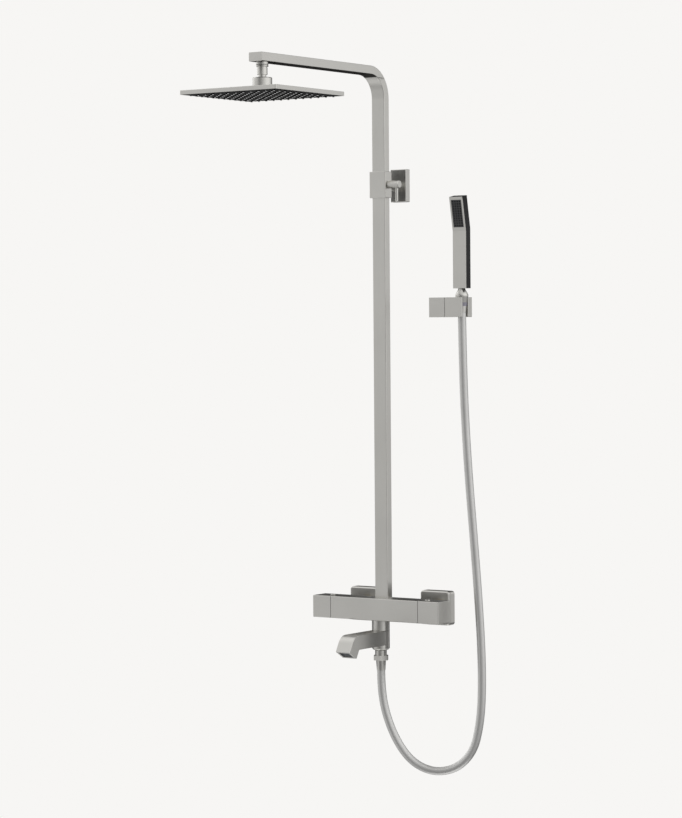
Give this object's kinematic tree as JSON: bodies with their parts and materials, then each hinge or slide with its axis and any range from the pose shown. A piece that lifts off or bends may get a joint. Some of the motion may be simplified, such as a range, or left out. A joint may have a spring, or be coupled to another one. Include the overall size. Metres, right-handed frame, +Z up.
{
  "type": "rainfall shower column",
  "caption": "Square bar shower mixer with a swivelling spout, rectangular riser and arm, square rain head, hose and a stick hand shower in a tilting wall holder.",
  "frame": {"origin": "midpoint between the two wall inlets, on the wall's face", "axes": "+X along the mixer bar to the flow knob, +Y into the wall, +Z up the riser"},
  "size_m": [0.3138, 0.5465, 1.2406],
  "materials": {
    "satin_metal": "satin, brushed steel look plating over cast and tubular metal",
    "plain_brass": "machined",
    "inner_steel": "plain",
    "inner_plastic": "moulded",
    "seal_rubber": "matt",
    "hose_sheath": "smooth satin silver sheath",
    "handset_face": "satin plated plastic",
    "dark_plastic": "satin",
    "dark_face": "dark satin plate",
    "nozzle_silicone": "soft silicone"
  },
  "bodies": {
    "root": {"mixer_body": "satin_metal", "wall_union_left": "plain_brass", "wall_union_right": "plain_brass", "union_nut_left": "plain_brass", "union_nut_right": "plain_brass", "rosette_left": "satin_metal", "rosette_right": "satin_metal", "inlet_filters": "inner_steel", "check_valves": "inner_plastic", "thermostatic_cartridge": "plain_brass", "flow_cartridge": "plain_brass", "knob_stop_rings": "inner_plastic", "spout_collar": "satin_metal", "swivel_tube": "plain_brass", "spout_o_rings": "seal_rubber", "hose_outlet": "satin_metal", "riser_nipple": "plain_brass", "riser_o_ring": "seal_rubber", "riser_pipe": "satin_metal", "riser_grub_screw": "inner_steel", "arm_end_cap": "satin_metal", "arm_boss": "satin_metal", "ball_stem": "satin_metal", "hose_washer": "seal_rubber", "hose_nut": "satin_metal", "hose_sleeve": "satin_metal", "shower_hose": "hose_sheath", "holder_base": "satin_metal", "holder_flange": "inner_steel", "holder_screws": "inner_steel", "holder_pivot": "inner_steel"},
    "temperature_knob": {"temperature_knob": "satin_metal", "temperature_knob_screw": "inner_steel", "temperature_spring": "inner_steel"},
    "temperature_button": {"temperature_button": "satin_metal"},
    "flow_knob": {"flow_knob": "satin_metal", "flow_knob_screw": "inner_steel", "flow_spring": "inner_steel"},
    "flow_button": {"flow_button": "satin_metal"},
    "spout": {"spout": "satin_metal", "spout_aerator": "inner_plastic"},
    "bracket": {"bracket_collar": "satin_metal", "bracket_stem": "satin_metal", "bracket_wall_plate": "satin_metal", "bracket_screws": "inner_steel", "clamp_pad": "inner_plastic"},
    "clamp_lever": {"clamp_screw": "satin_metal", "clamp_lever_pin": "satin_metal"},
    "seat_upper": {"seat_upper": "inner_plastic"},
    "seat_lower": {"seat_lower": "inner_plastic"},
    "rain_head": {"swivel_nut": "satin_metal", "head_shell": "satin_metal", "head_faceplate": "dark_face", "nozzle_mat": "nozzle_silicone"},
    "holder_fork": {"holder_fork": "satin_metal"},
    "handset": {"handset_back_shell": "dark_plastic", "handset_front_shell": "handset_face", "handset_spray_plate": "dark_plastic", "handset_connector": "plain_brass", "hose_cone_nut": "satin_metal"}
  },
  "joints": [
    {"name": "temperature_turn", "type": "hinge", "parent": "root", "child": "temperature_knob", "pos_m": [-0.113, -0.0775, 0], "axis": [-1, 0, 0], "range_deg": [-150, 60]},
    {"name": "temperature_button_press", "type": "slide", "parent": "temperature_knob", "child": "temperature_button", "axis": [0, 0, -1], "range_m": [0, 0.002], "stiffness_N_per_m": 900, "springref_m": -0.0012, "deforming": ["temperature_spring"]},
    {"name": "flow_turn", "type": "hinge", "parent": "root", "child": "flow_knob", "pos_m": [0.111, -0.0775, 0], "axis": [1, 0, 0], "range_deg": [-90, 90]},
    {"name": "flow_button_press", "type": "slide", "parent": "flow_knob", "child": "flow_button", "axis": [0, 0, -1], "range_m": [0, 0.002], "stiffness_N_per_m": 900, "springref_m": -0.0012, "deforming": ["flow_spring"]},
    {"name": "spout_swivel", "type": "hinge", "parent": "root", "child": "spout", "pos_m": [0, -0.0775, -0.055], "axis": [0, 0, 1], "range_deg": [-90, 90]},
    {"name": "bracket_slide", "type": "slide", "parent": "root", "child": "bracket", "axis": [0, 0, 1], "range_m": [-0.12, 0.1]},
    {"name": "clamp_turn", "type": "hinge", "parent": "bracket", "child": "clamp_lever", "pos_m": [0.028, -0.068, 0.745], "axis": [1, 0, 0], "range_deg": [-90, 90]},
    {"name": "head_tilt_side", "type": "hinge", "parent": "root", "child": "seat_upper", "pos_m": [0, -0.418, 0.8995], "axis": [0, 1, 0], "range_deg": [-12, 12]},
    {"name": "head_tilt_front", "type": "hinge", "parent": "seat_upper", "child": "seat_lower", "pos_m": [0, -0.418, 0.8995], "axis": [1, 0, 0], "range_deg": [-12, 12]},
    {"name": "head_spin", "type": "hinge", "parent": "seat_lower", "child": "rain_head", "pos_m": [0, -0.418, 0.8995], "axis": [0, 0, 1], "continuous": true},
    {"name": "holder_tilt", "type": "hinge", "parent": "root", "child": "holder_fork", "pos_m": [0.13, -0.02845, 0.5293], "axis": [1, 0, 0], "range_deg": [-5, 35], "deforming": ["shower_hose"]},
    {"name": "handset_lift", "type": "slide", "parent": "holder_fork", "child": "handset", "axis": [0, 0, 1], "range_m": [0, 0.025]}
  ]
}
